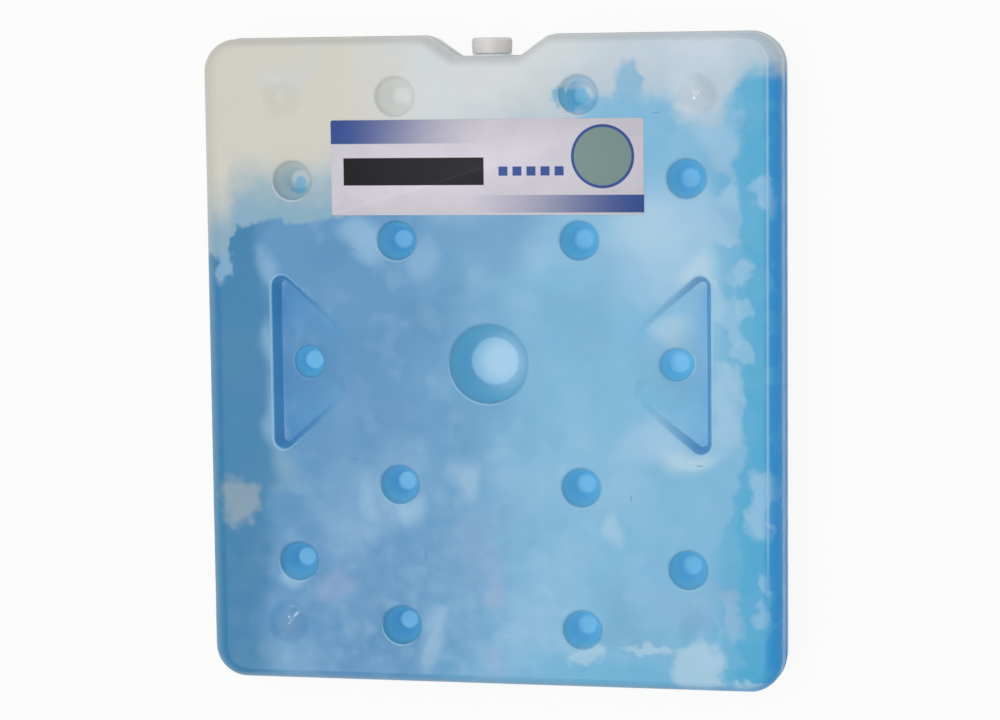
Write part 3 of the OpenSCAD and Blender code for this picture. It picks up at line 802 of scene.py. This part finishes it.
class GELPACK_OT_stage(bpy.types.Operator):
    """Lay the floor, hang the lights and set the camera at the photograph's angle"""

    bl_idname = "gel_pack.stage"
    bl_label = "Studio"

    def execute(self, context):
        scene = context.scene
        studio = settings().studio
        scene.view_settings.view_transform = "Standard"
        self.add_floor(scene)
        self.add_world(scene, studio)
        self.add_lamp(scene, "key_light", (-0.75, 0.85, 1.5), 0.9, studio.key_power)
        self.add_lamp(scene, "front_light", (-0.12, 0.0, 1.6), 0.5, studio.front_power)
        for name, place, share in (("left_glint", (-0.4, 0.3, 1.4), 1.0), ("right_glint", (0.13, 0.32, 1.4), 1.0),
                                   ("low_glint", (-0.37, -0.42, 1.4), 2.0)):
            self.add_lamp(scene, name, place, 0.11, studio.glint_power * share)
        self.add_camera(scene, studio)
        return {"FINISHED"}

    @staticmethod
    def add_floor(scene):
        """A pale matt floor that is nearly white to the camera but keeps the shadow."""
        bm = bmesh.new()
        bmesh.ops.create_grid(bm, x_segments=1, y_segments=1, size=4.0)
        floor = finish_mesh(bm, "studio_floor")
        material, tree, shader = new_material("pale_matt_paper", Roughness=0.9)
        shader.inputs["Base Color"].default_value = (*linear("F2F2F0"), 1)
        rays = add(tree, "ShaderNodeLightPath").outputs
        seen = add(tree, "ShaderNodeMath", {0: rays["Is Camera Ray"], 1: rays["Is Glossy Ray"]}, operation="MAXIMUM")
        seen = add(tree, "ShaderNodeMath", {0: seen.outputs[0], 1: rays["Is Transmission Ray"]}, operation="MAXIMUM")
        white = add(tree, "ShaderNodeEmission", {0: (1, 1, 1), 1: 1.0}).outputs[0]
        share = add(tree, "ShaderNodeMath", {0: seen.outputs[0], 1: 0.9}, operation="MULTIPLY").outputs[0]
        mixed = add(tree, "ShaderNodeMixShader", {0: share, 1: shader.outputs[0], 2: white}).outputs[0]
        tree.links.new(mixed, tree.nodes["Material Output"].inputs[0])
        floor.data.materials.append(material)

    @staticmethod
    def add_world(scene, studio):
        """Even light from all round, seen as plain white."""
        world = bpy.data.worlds.new("studio_air")
        scene.world = world
        world.use_nodes = True
        tree = world.node_tree
        air = tree.nodes["Background"]
        air.inputs[0].default_value = (1, 1, 1, 1)
        air.inputs[1].default_value = studio.fill
        white = add(tree, "ShaderNodeBackground", {0: (1, 1, 1), 1: 1.0}).outputs[0]
        seen = add(tree, "ShaderNodeLightPath").outputs["Is Camera Ray"]
        mixed = add(tree, "ShaderNodeMixShader", {0: seen, 1: air.outputs[0], 2: white}).outputs[0]
        tree.links.new(mixed, tree.nodes["World Output"].inputs[0])

    @staticmethod
    def add_lamp(scene, name, place, size, power):
        """A square lamp turned towards the pack."""
        data = bpy.data.lights.new(name, "AREA")
        data.size = size
        data.energy = power
        lamp = bpy.data.objects.new(name, data)
        lamp.location = place
        lamp.rotation_euler = (-Vector(place)).to_track_quat("-Z", "Y").to_euler()
        scene.collection.objects.link(lamp)

    @staticmethod
    def add_camera(scene, studio):
        """The view that was fitted to the dimples in the photograph."""
        turn = (Matrix.Rotation(studio.roll, 3, "Z") @ Matrix.Rotation(studio.pitch, 3, "X")
                @ Matrix.Rotation(studio.yaw, 3, "Y")).transposed()
        place = Vector((0, 0, FACE_Z)) + turn @ Vector((studio.shift_x, studio.shift_y, studio.distance))
        data = bpy.data.cameras.new("camera")
        data.sensor_width = SENSOR_MM
        data.lens = FOCAL_PIXELS / PHOTO_WIDTH * SENSOR_MM
        data.clip_start = 0.05
        camera = bpy.data.objects.new("camera", data)
        camera.matrix_world = Matrix.Translation(place) @ turn.to_4x4()
        scene.collection.objects.link(camera)
        scene.camera = camera


class GELPACK_OT_shell(bpy.types.Operator):
    """Model the blow-moulded shell and give it its gel-clouded finish"""

    bl_idname = "gel_pack.shell"
    bl_label = "Shell"

    def execute(self, context):
        pack = settings()
        piece = build_shell(pack)
        piece.data.materials.append(shell_material(pack.colours))
        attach(piece, "root")
        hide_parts("shell")
        return {"FINISHED"}


class GELPACK_OT_gel(bpy.types.Operator):
    """Give the gel inside the shell its cloudy blue"""

    bl_idname = "gel_pack.gel"
    bl_label = "Gel"

    def execute(self, context):
        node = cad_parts["gel_fill"]
        node.data.materials.clear()
        node.data.materials.append(gel_material(settings().colours))
        return {"FINISHED"}


class GELPACK_OT_cap(bpy.types.Operator):
    """Turn the filler cap and give it its milky finish"""

    bl_idname = "gel_pack.cap"
    bl_label = "Filler cap"

    def execute(self, context):
        pack = settings()
        cap = pack.cap
        foot = cap.collar_h + cap.skirt_gap
        top = cap.neck_h + cap.top_t
        soft = 0.3 * MM
        low_r = cap.cap_r - cap.taper
        skirt_r = cap.neck_r + cap.clear
        plug_r = cap.bore_r - cap.clear
        profile = [(0, top), (0.5 * cap.cap_r, top)]
        profile += arc((cap.cap_r - cap.rounding, top - cap.rounding), cap.rounding, math.pi / 2, 0, 6)
        profile += arc((low_r - soft, foot + soft), soft, 0, -math.pi / 2, 3)
        profile += [(skirt_r, foot), (skirt_r, cap.neck_h), (plug_r, cap.neck_h),
                    (plug_r, cap.neck_h - cap.plug_h + soft), (plug_r - soft, cap.neck_h - cap.plug_h),
                    (0, cap.neck_h - cap.plug_h)]
        bm = bmesh.new()
        spin_profile(bm, profile, (0, 0), 72)
        stand_in_notch(bm, bm.verts, pack)
        piece = finish_mesh(bm, "filler_cap_moulding")
        weigh_normals(piece)
        piece.data.materials.append(cap_material(pack.colours))
        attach(piece, "root")
        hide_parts("filler_cap")
        return {"FINISHED"}


class GELPACK_OT_label(bpy.types.Operator):
    """Cut the film label and print its plain fields of colour"""

    bl_idname = "gel_pack.label"
    bl_label = "Label"

    def execute(self, context):
        low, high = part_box("label")
        corner = 0.8 * MM
        bm = bmesh.new()
        corners = [Vector((x, y, low.z)) for x, y in ((high.x, low.y), (high.x, high.y), (low.x, high.y), (low.x, low.y))]
        rim = rounded_loop(bm, corners, [corner] * 4, [4] * 4)
        base = bmesh.ops.contextual_create(bm, geom=rim)["faces"]
        raised = bmesh.ops.extrude_face_region(bm, geom=base)["geom"]
        top = [g for g in raised if isinstance(g, bmesh.types.BMVert)]
        bmesh.ops.translate(bm, verts=top, vec=(0, 0, high.z - low.z))
        piece = finish_mesh(bm, "label_film")
        piece.data.materials.append(label_material(settings().colours))
        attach(piece, "root")
        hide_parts("label")
        return {"FINISHED"}


class GELPACK_PT_panel(bpy.types.Panel):
    """The pack's steps and settings"""

    bl_label = "Gel Pack"
    bl_idname = "GELPACK_PT_panel"
    bl_space_type = "VIEW_3D"
    bl_region_type = "UI"
    bl_category = "Gel Pack"

    def draw(self, context):
        for step in STEPS:
            self.layout.operator(step.bl_idname)
        for name in ("shell", "dimples", "grips", "cap", "colours", "studio"):
            group = getattr(settings(), name)
            box = self.layout.box()
            box.label(text=name.title())
            for prop in group.bl_rna.properties:
                if not prop.is_readonly and prop.identifier != "name":
                    box.prop(group, prop.identifier)


STEPS = (GELPACK_OT_stage, GELPACK_OT_gel, GELPACK_OT_shell, GELPACK_OT_cap, GELPACK_OT_label)
CLASSES = (ShellSizes, DimpleSizes, GripSizes, CapSizes, PackColours, StudioSettings, PackSettings, *STEPS,
           GELPACK_PT_panel)


def register():
    for cls in CLASSES:
        bpy.utils.register_class(cls)
    bpy.types.Scene.gel_pack = PointerProperty(type=PackSettings)


def unregister():
    del bpy.types.Scene.gel_pack
    for cls in reversed(CLASSES):
        bpy.utils.unregister_class(cls)


def main():
    register()
    bpy.ops.gel_pack.stage()
    bpy.ops.gel_pack.gel()
    bpy.ops.gel_pack.shell()
    bpy.ops.gel_pack.cap()
    bpy.ops.gel_pack.label()


if __name__ == "__main__":
    main()
